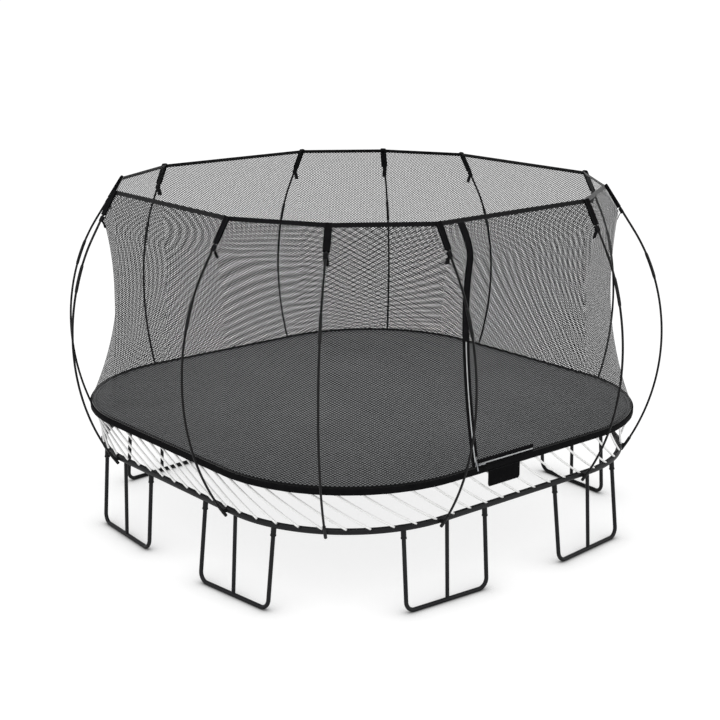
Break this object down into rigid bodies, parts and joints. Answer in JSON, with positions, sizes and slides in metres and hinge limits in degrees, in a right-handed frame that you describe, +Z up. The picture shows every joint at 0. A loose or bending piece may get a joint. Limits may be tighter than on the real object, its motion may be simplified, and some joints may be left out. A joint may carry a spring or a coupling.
{
  "type": "trampoline",
  "caption": "Springless rounded-square garden trampoline with slanted flexible rods under the mat, tube legs and a net held by bowed outer rods.",
  "frame": {"origin": "On the ground, below the centre of the mat.", "axes": "+Z is up. The door in the net, with its zip and label, is on the -Y side, and +X is to the right seen from outside the door."},
  "size_m": [3.8886, 3.8886, 2.459],
  "materials": {
    "frame_paint": "satin black powder coat",
    "insert_steel": "plain zinc-plated steel",
    "leg_paint": "satin black powder coat",
    "socket_paint": "satin black powder coat",
    "collar_plastic": "moulded black plastic",
    "white_glass_fibre": "smooth white glass-fibre rod",
    "pocket_plastic": "moulded black plastic",
    "mat_fabric": "woven dark grey polypropylene",
    "border_webbing": "sewn black webbing",
    "label_fabric": "bare black woven patch",
    "black_glass_fibre": "smooth black glass-fibre rod",
    "ferrule_plastic": "black sleeve",
    "net_webbing": "sewn black webbing",
    "net_mesh": "open knitted mesh, drawn as a thin sheet",
    "zip_tape": "black woven tape",
    "zip_coil": "grey nylon coil",
    "zip_metal": "cast metal slider",
    "pull_metal": "pressed metal tab"
  },
  "bodies": {
    "frame": {"frame_side_front": "frame_paint", "frame_side_right": "frame_paint", "frame_side_back": "frame_paint", "frame_side_left": "frame_paint", "frame_corner_front_right": "frame_paint", "frame_corner_right_back": "frame_paint", "frame_corner_back_left": "frame_paint", "frame_corner_left_front": "frame_paint", "frame_spigots": "insert_steel", "leg_front_a": "leg_paint", "leg_front_b": "leg_paint", "leg_right_a": "leg_paint", "leg_right_b": "leg_paint", "leg_back_a": "leg_paint", "leg_back_b": "leg_paint", "leg_left_a": "leg_paint", "leg_left_b": "leg_paint", "leg_sockets": "socket_paint", "leg_collars": "collar_plastic", "mat_rod_sockets": "socket_paint", "mat_rods_front": "white_glass_fibre", "mat_rods_right": "white_glass_fibre", "mat_rods_back": "white_glass_fibre", "mat_rods_left": "white_glass_fibre", "net_rods_front": "black_glass_fibre", "net_rods_right": "black_glass_fibre", "net_rods_back": "black_glass_fibre", "net_rods_left": "black_glass_fibre", "net_rod_sockets": "socket_paint", "net_rod_ferrules": "ferrule_plastic", "net_rod_sleeves": "net_webbing", "net_rod_straps": "net_webbing", "net_top_band": "net_webbing", "net_front_strip": "net_mesh", "net_front_door": "net_mesh", "net_front_corner_a": "net_mesh", "net_front_corner_b": "net_mesh", "net_right_wall": "net_mesh", "net_right_corner_a": "net_mesh", "net_right_corner_b": "net_mesh", "net_back_wall": "net_mesh", "net_back_corner_a": "net_mesh", "net_back_corner_b": "net_mesh", "net_left_wall": "net_mesh", "net_left_corner_a": "net_mesh", "net_left_corner_b": "net_mesh", "zip_tape_fixed": "zip_tape", "zip_tape_door": "zip_tape", "zip_teeth": "zip_coil", "zip_cover": "net_webbing"},
    "mat": {"jump_mat": "mat_fabric", "mat_border": "border_webbing", "mat_rod_pockets": "pocket_plastic", "label_patch": "label_fabric", "hem_tape": "zip_tape", "hem_teeth": "zip_coil"},
    "zip_slider": {"zip_slider": "zip_metal"},
    "zip_pull": {"zip_pull": "pull_metal"},
    "hem_slider": {"hem_slider": "zip_metal"},
    "hem_pull": {"hem_pull": "pull_metal"}
  },
  "joints": [
    {"name": "mat_bounce", "type": "slide", "parent": "frame", "child": "mat", "axis": [0, 0, -1], "range_m": [0, 0.15], "stiffness_N_per_m": 6000, "springref_m": -0.08, "deforming": ["mat_rods_front", "mat_rods_right", "mat_rods_back", "mat_rods_left", "zip_tape_fixed", "zip_tape_door", "zip_teeth"]},
    {"name": "zip_slide", "type": "hinge", "parent": "mat", "child": "zip_slider", "pos_m": [-0.49785, -6.79686, 1.8052], "axis": [0.9994, 0, 0.0351], "range_deg": [0, 8.5]},
    {"name": "zip_pull_swing", "type": "hinge", "parent": "zip_slider", "child": "zip_pull", "pos_m": [-0.46652, -1.69378, 0.91231], "axis": [-0.9994, 0, -0.0351], "range_deg": [0, 130]},
    {"name": "hem_slide", "type": "slide", "parent": "mat", "child": "hem_slider", "axis": [1, 0, 0], "range_m": [0, 0.465]},
    {"name": "hem_pull_swing", "type": "hinge", "parent": "hem_slider", "child": "hem_pull", "pos_m": [-0.44806, -1.7018, 0.899], "axis": [0, 0, -1], "range_deg": [0, 130]}
  ]
}
